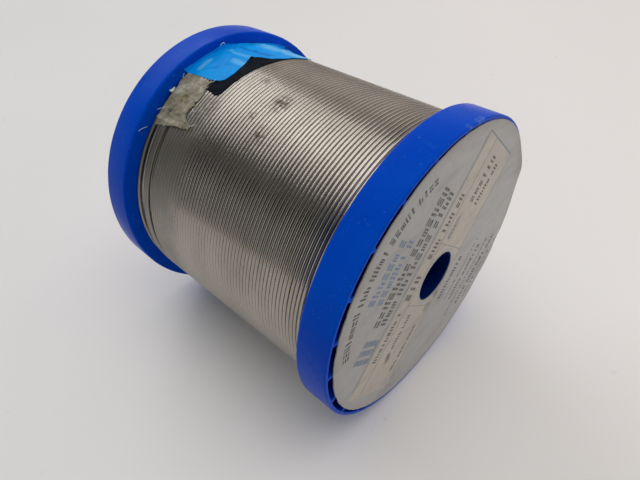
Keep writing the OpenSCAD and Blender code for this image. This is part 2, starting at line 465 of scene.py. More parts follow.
# ---------------------------------------------------------------------------
# Barrel: the tube that carries the wire, part of the same moulding. A small
# hole near the back lets the start of the wire through to the inside.
# ---------------------------------------------------------------------------
barrel_wall = 1.6 * MM
start_hole_r = 0.7 * MM
start_low, start_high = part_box("wire_start")
start_angle = math.radians(60.0)
wire_d = 0.9 * MM
start_y = start_low[1] + wire_d / 2

barrel = tube_piece("reel_barrel", barrel_r, barrel_r - barrel_wall, -half_w, half_w, 180)
round_edges(barrel, 0.2 * MM, 2)
bpy.ops.mesh.primitive_cylinder_add(
    vertices=32, radius=start_hole_r, depth=6 * MM,
    location=(barrel_r * math.cos(start_angle), start_y, barrel_r * math.sin(start_angle)),
    rotation=(0.0, math.pi / 2 - start_angle, 0.0))
drill = bpy.context.object
modify(barrel, "BOOLEAN", operation="DIFFERENCE", object=drill)
bpy.data.objects.remove(drill)
finish(barrel, PLASTIC, ["barrel"])

# ---------------------------------------------------------------------------
# Hub tube: the bore that a stand's spindle goes through, end to end. Its inside
# is darkened with painted shade.
# ---------------------------------------------------------------------------
hub_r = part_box("hub_tube")[1][0]
bore_r = frame["record"]["mounts"][0]["dims"]["r_mm"] * MM
hub = tube_piece("reel_hub_tube", hub_r, bore_r, -half_w, half_w, 128)
round_edges(hub, 0.22 * MM, 3)
finish(hub, reel_plastic("reel_blue_shaded_bore", bore_r * 1.04), ["hub_tube"])

# ---------------------------------------------------------------------------
# Centre web: the disc half way along, where the two cores of the mould met.
# ---------------------------------------------------------------------------
web_low, web_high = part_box("centre_web")
web = tube_piece("reel_centre_web", barrel_r - barrel_wall + bury, hub_r - bury,
                 web_low[1], web_high[1], 128)
finish(web, PLASTIC, ["centre_web"])


# ---------------------------------------------------------------------------
# Spokes: six plates on each side of the web that hold the barrel on the hub.
# ---------------------------------------------------------------------------
SPOKES = 6
spoke_t = 1.4 * MM


def spoke_piece(name, side):
    y_web = side * web_high[1]
    y_end = side * half_w
    long = barrel_r - barrel_wall - hub_r + 2 * bury
    plates = []
    for i in range(SPOKES):
        bpy.ops.mesh.primitive_cube_add(
            size=1.0, location=(hub_r - bury + long / 2, (y_web + y_end) / 2, 0.0),
            scale=(long, abs(y_end - y_web), spoke_t))
        plate = bpy.context.object
        settle(plate, "%s_%d" % (name, i))
        bpy.ops.object.mode_set(mode="EDIT")
        pick(plate, "VERT", lambda v: v.co.y * side > half_w - bury)
        bpy.ops.transform.resize(value=(1.0, 1.0, 0.82), center_override=(0.0, y_end, 0.0))
        bpy.ops.object.mode_set(mode="OBJECT")
        round_edges(plate, 0.16 * MM, 2)
        bpy.ops.transform.rotate(value=(i + 0.5) * math.tau / SPOKES, orient_axis="Y",
                                 center_override=(0.0, 0.0, 0.0))
        settle(plate, plate.name)
        plates.append(plate)
    select_only(*plates)
    bpy.ops.object.join()
    plates[0].name = name
    return plates[0]


finish(spoke_piece("reel_front_spokes", -1), PLASTIC, ["front_spokes"])
finish(spoke_piece("reel_back_spokes", 1), PLASTIC, ["back_spokes"])


# ---------------------------------------------------------------------------
# Solder wire: one continuous length of 0.9 mm tin-lead wire with a rosin core,
# wound in eleven layers. Turns lie in the grooves of the layer below and step
# over to the next groove on the far lower side.
# ---------------------------------------------------------------------------
def solder_metal(name, scuffs=()):
    material, tree, shader = new_material(name)
    shader.inputs["Metallic"].default_value = 1.0
    drift = noise_of(tree, 90.0, 4.0, 0.6, (1.0, 2.2, 1.0))
    metal = ramp_of(tree, drift, [(0.3, (0.375, 0.345, 0.30)), (0.7, (0.45, 0.415, 0.37))])
    fine = noise_of(tree, 1500.0, 3.0, 0.6, (1.0, 2.5, 1.0))
    metal = mix_of(tree, 1.0, metal, ramp_of(tree, fine, [(0.25, 0.9), (0.6, 1.0)]), "MULTIPLY")
    gloss = ramp_of(tree, noise_of(tree, 240.0, 5.0, 0.65), [(0.3, 0.13), (0.75, 0.22)])
    for spot, reach in scuffs:
        mark = spot_mask(tree, spot, reach)
        metal = mix_of(tree, times(tree, mark, 0.92), metal, (0.15, 0.13, 0.105))
        gloss = mix_of(tree, mark, gloss, (0.6, 0.6, 0.6))
    if scuffs:
        # Adhesive off the tapes has dulled the turns near the back flange
        leftwards = share_along(tree, place_of(tree), (-60.0, 0.0, 0.0))
        backwards = share_along(tree, place_of(tree), (0.0, 40.0, 0.0))
        on_left = ramp_of(tree, leftwards, [(0.4, 0.0), (0.8, 1.0)])
        at_back = ramp_of(tree, backwards, [(0.40, 0.0), (0.62, 1.0)])
        patchy = ramp_of(tree, noise_of(tree, 200.0, 4.0), [(0.3, 0.7), (0.6, 1.0)])
        gum = times(tree, times(tree, on_left, at_back), patchy)
        metal = mix_of(tree, times(tree, gum, 0.55), metal, (0.255, 0.25, 0.22))
        gloss = mix_of(tree, times(tree, gum, 0.8), gloss, (0.5, 0.5, 0.5))
    coat(tree, shader, metal, gloss, fine, 0.08, 0.00002)
    return material


def piece_from(name, verts, faces):
    """New piece made of the given faces, all turned the same way."""
    mesh = bpy.data.meshes.new(name)
    mesh.from_pydata(verts, [], faces)
    mesh.validate()
    piece = bpy.data.objects.new(name, mesh)
    bpy.context.collection.objects.link(piece)
    select_only(piece)
    bpy.ops.object.mode_set(mode="EDIT")
    bpy.ops.mesh.select_all(action="SELECT")
    bpy.ops.mesh.normals_make_consistent(inside=False)
    bpy.ops.object.mode_set(mode="OBJECT")
    return piece


def swept_tube(name, path, radius, sides, out=None):
    """Closed tube along a path of points; out(i) is the direction of its first side."""
    verts = []
    for i, point in enumerate(path):
        ahead = path[min(i + 1, len(path) - 1)] - path[max(i - 1, 0)]
        ahead.normalize()
        first = out(i) if out else Vector((point.x, 0.0, point.z))
        first = (first - ahead * first.dot(ahead)).normalized()
        second = ahead.cross(first)
        for k in range(sides):
            turn = math.tau * k / sides
            verts.append(point + radius * (math.cos(turn) * first + math.sin(turn) * second))
    faces = []
    for i in range(len(path) - 1):
        a = i * sides
        for k in range(sides):
            n = (k + 1) % sides
            faces.append((a + k, a + sides + k, a + sides + n, a + n))
    faces.append(tuple(range(sides)))
    faces.append(tuple(len(verts) - 1 - k for k in range(sides)))
    return piece_from(name, verts, faces)


def length_of(path):
    return sum((b - a).length for a, b in zip(path, path[1:]))


LAYERS = 11
NEST = 0.866  # rise of a layer that lies in the grooves of the one below, in wire diameters
first_turn = -inside_w + 0.03 * MM + wire_d / 2
step_start = math.radians(118.0)
step_share = 0.1


def smooth(t):
    t = min(max(t, 0.0), 1.0)
    return t * t * (3.0 - 2.0 * t)


def layer_radius(layer):
    return barrel_r + wire_d * (0.5 + NEST * (layer - 1))


def turn_point(turn, y_first, radius, unrest):
    """Place of the wire after some number of turns; angles run from the top towards +X."""
    whole = math.floor(turn)
    part = turn - whole
    y = y_first + wire_d * (whole + smooth((part - 1.0 + step_share) / step_share))
    angle = step_start + (part + step_share) * math.tau
    wander = Vector((math.sin(angle) * 2.2, y * 900.0, math.cos(angle) * 2.2))
    y += unrest * noise.noise(wander)
    radius += 0.5 * unrest * noise.noise(wander + Vector((7.0, 3.0, 5.0)))
    return Vector((radius * math.sin(angle), y, radius * math.cos(angle)))


def layer_path(layer, turns, per_turn, unrest=0.0):
    y_first = first_turn + (0.0 if layer % 2 else wire_d / 2)
    radius = layer_radius(layer)
    return [turn_point(i / per_turn, y_first, radius, unrest) for i in range(turns * per_turn)]


HIDDEN_METAL = solder_metal("solder_hidden")
wire_length = 0.0
for layer in range(1, LAYERS):
    turns = 59 if layer % 2 else 58
    next_to_top = layer == LAYERS - 1
    path = layer_path(layer, turns, 96 if next_to_top else 56)
    wire_length += length_of(path)
    coil = swept_tube("solder_layer_%02d" % layer, path, wire_d / 2, 10 if next_to_top else 8)
    finish(coil, HIDDEN_METAL, ["wire_layer_%02d" % layer])

# The top layer shows: its turns wander a little, and handling has scuffed it
top_r = layer_radius(LAYERS)
crest_r = flange_r - 2.75 * MM


def on_winding(y, angle):
    """Place on the winding's crests: y in millimetres, and degrees from the top."""
    angle = math.radians(angle)
    return crest_r * math.sin(angle), y * MM, crest_r * math.cos(angle)


SCUFFED_METAL = solder_metal("solder_top", [
    (on_winding(0.5, -15.9), 3.0 * MM),
    (on_winding(-0.8, -30.9), 2.6 * MM),
    (on_winding(0.4, -36.3), 1.8 * MM),
    (on_winding(8.6, -8.8), 1.5 * MM),
    (on_winding(3.7, -25.3), 1.2 * MM),
    (on_winding(16.5, -37.0), 5.0 * MM),
    (on_winding(15.0, -29.0), 3.2 * MM),
])
top_turns = 53
path = layer_path(LAYERS, top_turns, 110, 0.045 * MM)
wire_length += length_of(path)
top = swept_tube("solder_layer_11", path, wire_d / 2, 12)
finish(top, SCUFFED_METAL, ["wire_layer_11"])


# ---------------------------------------------------------------------------
# Loose turns: the last of the wire has slipped towards the back flange, two
# turns side by side and one sunk beside the flange, with its end under tape.
# ---------------------------------------------------------------------------
sunk_y = inside_w - 0.06 * MM - wire_d / 2
pair_y = sunk_y - 1.85 * MM - wire_d
stations = [first_turn + wire_d * (top_turns - 1) + wire_d * 0.99, pair_y - wire_d, pair_y, sunk_y]
levels = [top_r, top_r, top_r, top_r - wire_d * 0.16]
stays = 0.84


def loose_point(turn):
    """The wire changes station under the tape, in the last part of each turn."""
    whole = min(int(turn), 2)
    part = turn - whole
    share = smooth((part - stays) / 0.16) if part > stays else 0.0
    after = min(whole + 2, 3)
    y = stations[whole + 1] + (stations[after] - stations[whole + 1]) * share
    r = levels[whole + 1] + (levels[after] - levels[whole + 1]) * share
    angle = math.radians(24.0) + part * math.tau
    wander = Vector((math.sin(angle) * 1.5, whole * 4.0, math.cos(angle) * 1.5))
    y += 0.10 * MM * noise.noise(wander)
    r += 0.05 * MM * noise.noise(wander + Vector((3.0, 8.0, 1.0)))
    return Vector((r * math.sin(angle), y, r * math.cos(angle)))


path = [loose_point(i / 120) for i in range(120 * 3 - 6)]
wire_length += length_of(path)
loose = swept_tube("solder_loose_turns", path, wire_d / 2, 14)
finish(loose, SCUFFED_METAL, ["wire_loose_turns"])
print("wire in the winding: %.1f m" % wire_length)


# ---------------------------------------------------------------------------
# Start of the wire: pushed in through the hole in the barrel, bent over and
# left a few millimetres long. Its cut end shows the rosin core.
# ---------------------------------------------------------------------------
flux_r = 0.17 * MM
start_r = barrel_r - barrel_wall - 1.7 * MM
bend_r = 1.2 * MM
outward = Vector((math.cos(start_angle), 0.0, math.sin(start_angle)))
along = Vector((0.0, 1.0, 0.0))
bend_centre = outward * (start_r + bend_r) + along * (start_y + bend_r)
start_path = [outward * (barrel_r - 0.05 * MM) + along * start_y,
              outward * (barrel_r - 0.9 * MM) + along * start_y]
for i in range(13):
    turn = math.radians(90.0 * i / 12)
    start_path.append(bend_centre - bend_r * (math.sin(turn) * outward + math.cos(turn) * along))
start_path.append(outward * start_r + along * (start_high[1] - 2.5 * MM))
start_path.append(outward * start_r + along * start_high[1])
side_way = outward.cross(along)
start = swept_tube("solder_start", start_path, wire_d / 2, 20, lambda i: side_way)
finish(start, HIDDEN_METAL, ["wire_start"])

rosin, tree, shader = new_material("amber_rosin")
grain = noise_of(tree, 3000.0, 3.0)
amber = ramp_of(tree, grain, [(0.3, (0.45, 0.20, 0.03)), (0.7, (0.72, 0.42, 0.10))])
coat(tree, shader, amber, ramp_of(tree, grain, [(0.3, 0.2), (0.7, 0.4)]), grain, 0.2, 0.00002)
core_path = start_path[:-1] + [start_path[-1] + along * 0.03 * MM]
core = swept_tube("rosin_core", core_path, flux_r, 12, lambda i: side_way)
finish(core, rosin, ["flux_core"])


# ---------------------------------------------------------------------------
# Label: a die-cut disc of silver-grey coated paper with a cream data panel,
# stuck over the rim, ribs and hub a little off centre. Its left edge is
# nibbled, it lifts in a few places, and handling has soiled its rim.
# ---------------------------------------------------------------------------
label_low, label_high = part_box("front_label")
label_r = (label_high[0] - label_low[0]) / 2
label_mid = (Vector(label_low) + Vector(label_high)) / 2
label_y = label_low[1]
label_face = Vector((label_mid.x, label_y, label_mid.z))
label_t = label_high[1] - label_low[1]
hole_r = bore_r + 0.12 * MM
hole_ring_r = bore_r + 1.0 * MM
TEXT_TILT = math.radians(50.5)
text_x = Vector((math.cos(TEXT_TILT), 0.0, math.sin(TEXT_TILT)))
text_up = Vector((-math.sin(TEXT_TILT), 0.0, math.cos(TEXT_TILT)))


def on_label(along_text, up_text):
    """Place on the label's face, given as shares of the flange radius."""
    spot = (text_x * along_text + text_up * up_text) * flange_r
    return Vector((spot.x, label_y, spot.z))


def paper(name, light, dark, soiled=()):
    material, tree, shader = new_material(name)
    blot = noise_of(tree, 60.0, 6.0, 0.62)
    fibre = noise_of(tree, 800.0, 4.0, 0.7)
    colour = ramp_of(tree, blot, [(0.32, dark), (0.68, light)])
    colour = mix_of(tree, 1.0, colour, ramp_of(tree, fibre, [(0.3, 0.9), (0.6, 1.0)]), "MULTIPLY")
    smear = noise_of(tree, 150.0, 5.0, 0.6, (0.35, 1.0, 1.6))
    colour = mix_of(tree, 1.0, colour, ramp_of(tree, smear, [(0.30, 0.80), (0.52, 1.0)]), "MULTIPLY")
    for spot, reach, strength, bare in soiled:
        mark = times(tree, spot_mask(tree, spot, reach, 900.0, bare), strength)
        colour = mix_of(tree, mark, colour, (0.10, 0.085, 0.05))
    edgeward = distance_share(tree, label_face, label_r)
    rim = ramp_of(tree, edgeward, [(0.93, 0.0), (0.985, 0.55), (1.0, 0.8)])
    grime = times(tree, rim, ramp_of(tree, blot, [(0.35, 0.15), (0.65, 1.0)]))
    colour = mix_of(tree, grime, colour, (0.30, 0.25, 0.20))
    satin = ramp_of(tree, blot, [(0.3, 0.30), (0.7, 0.44)])
    coat(tree, shader, colour, satin, fibre, 0.08, 0.00005, 0.6)
    return material


SILVER = ((0.485, 0.475, 0.465), (0.385, 0.375, 0.365))
CREAM = ((0.59, 0.52, 0.445), (0.49, 0.435, 0.37))
stains = [
    (on_label(-0.12, -0.175), 1.6 * MM, 0.85, 0.22),
    (on_label(-0.21, -0.14), 2.2 * MM, 0.60, 0.26),
    (on_label(-0.15, -0.32), 2.6 * MM, 0.40, 0.30),
    (on_label(-0.56, 0.088), 1.1 * MM, 0.95, 0.10),
    (on_label(-0.59, 0.070), 1.5 * MM, 0.80, 0.25),
    (on_label(-0.80, -0.22), 6.0 * MM, 0.40, 0.40),
    (on_label(0.10, -0.80), 7.0 * MM, 0.35, 0.40),
]
silver_paper = paper("label_silver_paper", *SILVER, stains)
cream_paper = paper("label_cream_panel", *CREAM, stains)


# Places where the label's edge is worn away, in degrees, with their depth in millimetres
LABEL_NICKS = [(-19.0, 0.9), (-39.5, 0.8)]


def label_edge(angle):
    """How far the label's edge falls short of a true circle."""
    left = max(0.0, -math.cos(angle - math.radians(-15.0)))
    nibble = noise.noise(Vector((math.cos(angle) * 9.0, math.sin(angle) * 9.0, 1.0)))
    nibble += 0.6 * noise.noise(Vector((math.cos(angle) * 24.0, math.sin(angle) * 24.0, 4.0)))
    short = left * 0.24 * abs(nibble) + 0.05 * abs(nibble)
    short -= 0.16 * max(0.0, math.cos(angle - math.radians(232.0))) ** 3
    for nick, depth in LABEL_NICKS:
        away = (math.degrees(angle) - nick + 180.0) % 360.0 - 180.0
        short += depth * math.exp(-(away / 3.4) ** 2)
    return short * MM


def label_lift(angle):
    """How far the very edge stands off the rim."""
    lift = 0.0
    for place, reach, height in ((21.0, 8.0, 0.5), (200.0, 30.0, 0.15)):
        away = (math.degrees(angle) - place + 180.0) % 360.0 - 180.0
        lift += height * math.exp(-(away / reach) ** 2)
    return lift * MM


bpy.ops.mesh.primitive_circle_add(vertices=360, radius=label_r, fill_type="NGON",
                                  location=label_face, rotation=(math.pi / 2, 0.0, 0.0))
label = bpy.context.object
settle(label, "label")
bpy.ops.object.mode_set(mode="EDIT")
bpy.ops.mesh.select_all(action="SELECT")
ring_steps = [0.25, 0.75, 1.2, 1.8, 3.0, 5.0, 6.0, 5.0]
ring_steps.append((label_r - hole_ring_r) / MM - sum(ring_steps))
ring_steps.append((hole_ring_r - hole_r) / MM)
for step in ring_steps:
    bpy.ops.mesh.inset(thickness=step * MM)
bpy.ops.mesh.delete(type="FACE")
# The hole is punched on the bore's axis, though the label sits off centre
pick(label, "VERT", lambda v: (v.co - label_face).length < hole_ring_r + 0.1 * MM)
bpy.ops.transform.translate(value=(-label_mid.x, 0.0, -label_mid.z))
panel_mid, panel_half_long, panel_half_high = (0.005, 0.08), 0.85, 0.26
panel_sides = [(text_x, panel_mid[0] - panel_half_long), (text_x, panel_mid[0] + panel_half_long),
               (text_up, panel_mid[1] - panel_half_high), (text_up, panel_mid[1] + panel_half_high)]
for way, reach in panel_sides:
    bpy.ops.mesh.select_all(action="SELECT")
    bpy.ops.mesh.bisect(plane_co=way * reach * flange_r, plane_no=way)
bpy.ops.object.mode_set(mode="OBJECT")
middle = Vector((label_mid.x, 0.0, label_mid.z))
for vert in label.data.vertices:
    flat = Vector((vert.co.x, 0.0, vert.co.z)) - middle
    angle = math.atan2(flat.z, flat.x)
    share = max(0.0, (flat.length - 0.88 * label_r) / (0.12 * label_r))
    flat *= 1.0 - label_edge(angle) / label_r * share ** 3
    vert.co = middle + flat + Vector((0.0, label_y - label_lift(angle) * share ** 2, 0.0))


def in_panel(place):
    off_long = abs(place.dot(text_x) / flange_r - panel_mid[0])
    off_high = abs(place.dot(text_up) / flange_r - panel_mid[1])
    outside_ring = math.hypot(place.x, place.z) > hole_ring_r
    return outside_ring and off_long < panel_half_long and off_high < panel_half_high


modify(label, "SOLIDIFY", thickness=label_t, offset=-1.0)
finish(label, silver_paper, ["front_label"])
label.data.materials.append(cream_paper)
for face in label.data.polygons:
    face.material_index = int(face.normal.y < -0.5 and in_panel(face.center))

# ---------------------------------------------------------------------------
# Print on the label: ruled cells, and rows of plain bars where such a label
# has its wording. Each bar is a film of ink a little over a hundredth of a
# millimetre thick.
# ---------------------------------------------------------------------------
def ink(name, colour):
    material, tree, shader = new_material(name)
    worn = noise_of(tree, 1300.0, 4.0, 0.7)
    faded = tuple(0.55 * c + 0.45 * g for c, g in zip(colour, (0.50, 0.47, 0.44)))
    coat(tree, shader, ramp_of(tree, worn, [(0.42, colour), (0.62, faded)]), 0.5, worn, 0.1, 0.00002)
    return material


inks = [ink("ink_black", (0.045, 0.036, 0.034)), ink("ink_blue", (0.12, 0.21, 0.38)),
        ink("ink_slate", (0.17, 0.23, 0.30)), ink("ink_rule", (0.25, 0.23, 0.22))]
BLACK, BLUE, SLATE, RULE = range(4)
mesh = bpy.data.meshes.new("label_print")
build = bmesh.new()
chance = random.Random(11)
proud = Vector((0.0, -0.015 * MM, 0.0))


def print_bar(colour, place, x0, y0, x1, y1):
    """One patch of ink; place(x, y) gives its corners on the label."""
    corners = [(x0, y0), (x1, y0), (x1, y1), (x0, y1)]
    verts = [build.verts.new(place(x, y) + proud) for x, y in corners]
    build.faces.new(verts).material_index = colour


# Groups of bars that stand for letters: each bar is (x0, y0, x1, y1) in a square cell
GLYPHS = [
    [(0.0, 0.0, 0.28, 1.0), (0.50, 0.0, 0.78, 1.0)],
    [(0.0, 0.0, 0.21, 0.75), (0.29, 0.0, 0.50, 0.75), (0.58, 0.0, 0.79, 0.75)],
    [(0.22, 0.0, 0.54, 1.0)],
    [(0.02, 0.0, 0.30, 1.0), (0.48, 0.0, 0.76, 0.65)],
    [(0.0, 0.0, 0.76, 0.26), (0.0, 0.38, 0.7, 0.62), (0.0, 0.76, 0.76, 1.0)],
    [(0.0, 0.0, 0.74, 0.30), (0.0, 0.48, 0.74, 0.76)],
]


def print_row(colour, length, height, place):
    """Row of words made of plain bars, centred on place(0, 0)."""
    pitch = height * 0.82
    x = -length / 2
    while x < length / 2 - pitch:
        for _ in range(chance.randint(3, 8)):
            if x > length / 2 - pitch:
                break
            for x0, y0, x1, y1 in chance.choice(GLYPHS):
                low, high = (y0 - 0.5) * height, (y1 - 0.5) * height
                print_bar(colour, place, x + x0 * pitch, low, x + x1 * pitch, high)
            x += pitch
        x += pitch * 0.5


# Colour, middle along the text, middle up the text, length and height, as shares of the flange radius
rows = [
    (BLUE, 0.014, 0.72, 0.42, 0.062), (BLUE, 0.010, 0.63, 0.40, 0.062),
    (BLACK, 0.10, 0.525, 0.86, 0.070), (BLACK, 0.10, 0.437, 0.84, 0.066),
    (BLACK, -0.41, 0.266, 0.36, 0.045), (BLACK, -0.07, 0.268, 0.20, 0.070),
    (BLACK, 0.31, 0.266, 0.42, 0.056), (BLACK, -0.385, 0.095, 0.25, 0.040),
    (BLACK, 0.64, 0.090, 0.30, 0.060), (BLACK, 0.62, -0.015, 0.28, 0.045),
    (BLACK, -0.52, -0.10, 0.36, 0.036),
    (BLACK, 0.01, -0.29, 0.34, 0.050), (SLATE, 0.08, -0.44, 0.50, 0.040),
    (BLACK, 0.08, -0.54, 0.50, 0.044), (SLATE, 0.02, -0.65, 0.66, 0.044),
    (BLACK, 0.10, -0.76, 0.62, 0.050), (SLATE, 0.06, -0.86, 0.42, 0.046),
]
for colour, u, v, length, height in rows:
    print_row(colour, length, height, lambda x, y: on_label(u + x, v + y))

# One row follows the edge of the label in an arc
arc_r, arc_mid = 0.853, math.radians(90.0)
print_row(BLACK, 1.13, 0.052, lambda x, y: on_label(
    (arc_r + y) * math.cos(arc_mid - x / arc_r), (arc_r + y) * math.sin(arc_mid - x / arc_r)))

# Rules round and across the panel, a boxed row and a plain square badge
panel_low, panel_high = panel_mid[1] - panel_half_high, panel_mid[1] + panel_half_high
rules = [
    (RULE, -0.84, panel_high + 0.012, 0.86, panel_high + 0.018),
    (RULE, -0.84, 0.203, 0.85, 0.209),
    (SLATE, -0.84, panel_high - 0.003, 0.85, panel_high + 0.002),
    (SLATE, 0.852, panel_low, 0.860, panel_high),
    (RULE, -0.208, panel_low, -0.203, 0.205),
    (RULE, 0.203, panel_low, 0.208, 0.205),
    (RULE, -0.84, panel_low - 0.002, 0.85, panel_low + 0.002),
    (SLATE, 0.235, 0.108, 0.42, 0.112), (SLATE, 0.235, 0.148, 0.42, 0.152),
]
badge = [
    (SLATE, -0.575, 0.385, -0.535, 0.545), (SLATE, -0.515, 0.385, -0.475, 0.545),
    (SLATE, -0.455, 0.385, -0.415, 0.545), (SLATE, -0.575, 0.365, -0.415, 0.385),
]
for colour, x0, y0, x1, y1 in rules + badge:
    print_bar(colour, on_label, x0, y0, x1, y1)
print_row(SLATE, 0.17, 0.03, lambda x, y: on_label(0.33 + x, 0.13 + y))
build.to_mesh(mesh)
build.free()
label_print = bpy.data.objects.new("label_print", mesh)
bpy.context.collection.objects.link(label_print)
for material in inks:
    mesh.materials.append(material)
modify(label_print, "SOLIDIFY", thickness=0.012 * MM, offset=-1.0)
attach(label_print, "root")


# ---------------------------------------------------------------------------
# Black tape: a strip of soft black film pressed on to the last turns, so that
# it takes their ripple. Its free edge lies along one turn.
# ---------------------------------------------------------------------------
wind_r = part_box("wire_layer_11")[1][0]
tape_r = wind_r + 0.03 * MM


def inside_outline(point, outline):
    u, v = point
    odd = False
    for (u0, v0), (u1, v1) in zip(outline, outline[1:] + outline[:1]):
        if (v0 > v) != (v1 > v) and u < u0 + (v - v0) * (u1 - u0) / (v1 - v0):
            odd = not odd
    return odd


def torn_sheet(name, outline, rag, cell, place):
    """Sheet cut to an outline with ragged edges; place(u, v) bends it over the winding.

    The outline's points are (v, angle): v is millimetres from the inside of the back
    flange, and the angle is in degrees from the top. u is millimetres round the winding."""
    corners = [(math.radians(angle) * tape_r / MM, v) for v, angle in outline]
    edge = []
    for (u0, v0), (u1, v1) in zip(corners, corners[1:] + corners[:1]):
        long = math.hypot(u1 - u0, v1 - v0)
        steps = max(1, round(long / cell))
        for k in range(steps):
            t = k / steps
            u, v = u0 + (u1 - u0) * t, v0 + (v1 - v0) * t
            tear = noise.noise(Vector((u * 1.7, v * 1.7, 2.0)))
            tear += 0.6 * noise.noise(Vector((u * 5.0, v * 5.0, 6.0)))
            tear *= rag
            edge.append((u + tear * (v1 - v0) / long, v - tear * (u1 - u0) / long))
    inner = []
    us, vs = [p[0] for p in edge], [p[1] for p in edge]
    for i in range(int((max(us) - min(us)) / cell)):
        for k in range(int((max(vs) - min(vs)) / cell)):
            point = (min(us) + (i + 0.5) * cell, min(vs) + (k + 0.5) * cell)
            room_left = min(math.hypot(point[0] - p[0], point[1] - p[1]) for p in edge)
            if room_left > 0.5 * cell and inside_outline(point, edge):
                inner.append(point)
    count = len(edge)
    flat, _, triangles = delaunay_2d_cdt([Vector(p) for p in edge + inner],
                                         [(i, (i + 1) % count) for i in range(count)], [], 1, 0.001)[:3]
    piece = piece_from(name, [place(p.x, p.y) for p in flat], triangles)
    one = piece.data.polygons[0]
    if one.normal.dot(one.center) < 0.0:
        piece.data.flip_normals()
    return piece


def round_winding(u, v, r):
    angle = u * MM / tape_r
    return Vector((r * math.sin(angle), inside_w + v * MM, r * math.cos(angle)))


def ripple(v):
    """Height that a pressed-down film takes from the turns under it, from 0 to 1."""
    return 0.5 + 0.5 * math.cos(math.tau * (inside_w + v * MM - first_turn) / wire_d)


black_outline = [
    (-12.5, -23.0), (-11.6, -24.6), (-8.5, -24.0), (-7.9, -21.0), (-4.0, -20.1),
    (-4.0, 12.0), (-12.9, 12.0), (-13.1, 4.5), (-12.8, -6.0), (-12.7, -14.0),
]
black = torn_sheet("black_tape_strip", black_outline, 0.12, 0.3,
                   lambda u, v: round_winding(u, v, tape_r + 0.03 * MM * ripple(v)))
modify(black, "SOLIDIFY", thickness=0.09 * MM, offset=1.0)
black_film, tree, shader = new_material("black_film")
dust = noise_of(tree, 500.0, 5.0, 0.7)
dusted = ramp_of(tree, dust, [(0.45, (0.004, 0.007, 0.012)), (0.78, (0.02, 0.024, 0.03))])
coat(tree, shader, dusted, ramp_of(tree, dust, [(0.3, 0.5), (0.7, 0.65)]), dust, 0.15, 0.00003, 0.02)
finish(black, black_film, ["black_tape"])


# ---------------------------------------------------------------------------
# Blue tape: light blue film over the black one. Its back edge turns up
# against the flange, and it is creased where it was pulled to tear it.
# ---------------------------------------------------------------------------
blue_r = tape_r + 0.15 * MM
blue_bend = 0.45
blue_outline = [
    (-10.2, -17.0), (-9.3, -18.4), (-7.4, -19.6), (-2.6, -20.4), (0.9, -21.6), (0.5, -16.0),
    (0.55, -10.8), (0.65, -5.7), (1.05, -2.0), (0.3, 4.5), (-0.15, 12.7), (-0.05, 19.7), (0.4, 27.0),
    (0.7, 34.0),
    (-6.0, 36.0), (-11.0, 31.0), (-13.2, 22.0), (-13.1, 10.0), (-11.6, 5.2), (-8.8, 2.6), (-8.0, -0.2),
    (-9.4, -5.2), (-10.4, -12.0),
]
# Ridges of the creases: from (v, angle) to (v, angle), with height and half width in millimetres
creases = [
    ((-8.0, 0.5), (-1.5, 2.5), 0.34, 0.45), ((-2.5, -2.0), (-3.5, 22.0), 0.30, 0.6),
    ((-6.0, 6.0), (-2.0, 18.0), 0.26, 0.5), ((-9.0, 14.0), (-4.0, 30.0), 0.25, 0.7),
    ((-6.5, -9.0), (-5.5, -3.0), 0.20, 0.5), ((-3.0, -16.0), (-5.0, -12.5), 0.16, 0.4),
    ((-1.5, -12.0), (-2.0, 0.0), 0.22, 0.45),
]


def from_line(u, v, start, end):
    """Distance from a crease, in millimetres round and across the winding."""
    u0, u1 = (math.radians(angle) * tape_r / MM for angle in (start[1], end[1]))
    du, dv = u1 - u0, end[0] - start[0]
    t = min(max(((u - u0) * du + (v - start[0]) * dv) / (du * du + dv * dv), 0.0), 1.0)
    return math.hypot(u - u0 - t * du, v - start[0] - t * dv)


def blue_place(u, v):
    lift = 0.05 * (1.0 + noise.noise(Vector((u * 0.5, v * 0.8, 9.0))))
    for start, end, height, width in creases:
        lift += height * math.exp(-(from_line(u, v, start, end) / width) ** 2)
    flat_end = -blue_bend
    lift *= smooth((flat_end - v) / 1.2 + 0.25)
    r, y = blue_r + lift * MM, v
    if v > flat_end:
        turn = min((v - flat_end) / blue_bend, math.pi / 2)
        past = max(0.0, v - flat_end - blue_bend * math.pi / 2)
        y = flat_end + blue_bend * math.sin(turn) - 0.16
        r = blue_r + (blue_bend * (1.0 - math.cos(turn)) + past) * MM
    elif v > flat_end - 1.0:
        y = v - 0.16 * (v - flat_end + 1.0)
    return round_winding(u, y, r)


blue = torn_sheet("blue_tape_strip", blue_outline, 0.10, 0.3, blue_place)
modify(blue, "SOLIDIFY", thickness=0.10 * MM, offset=1.0)
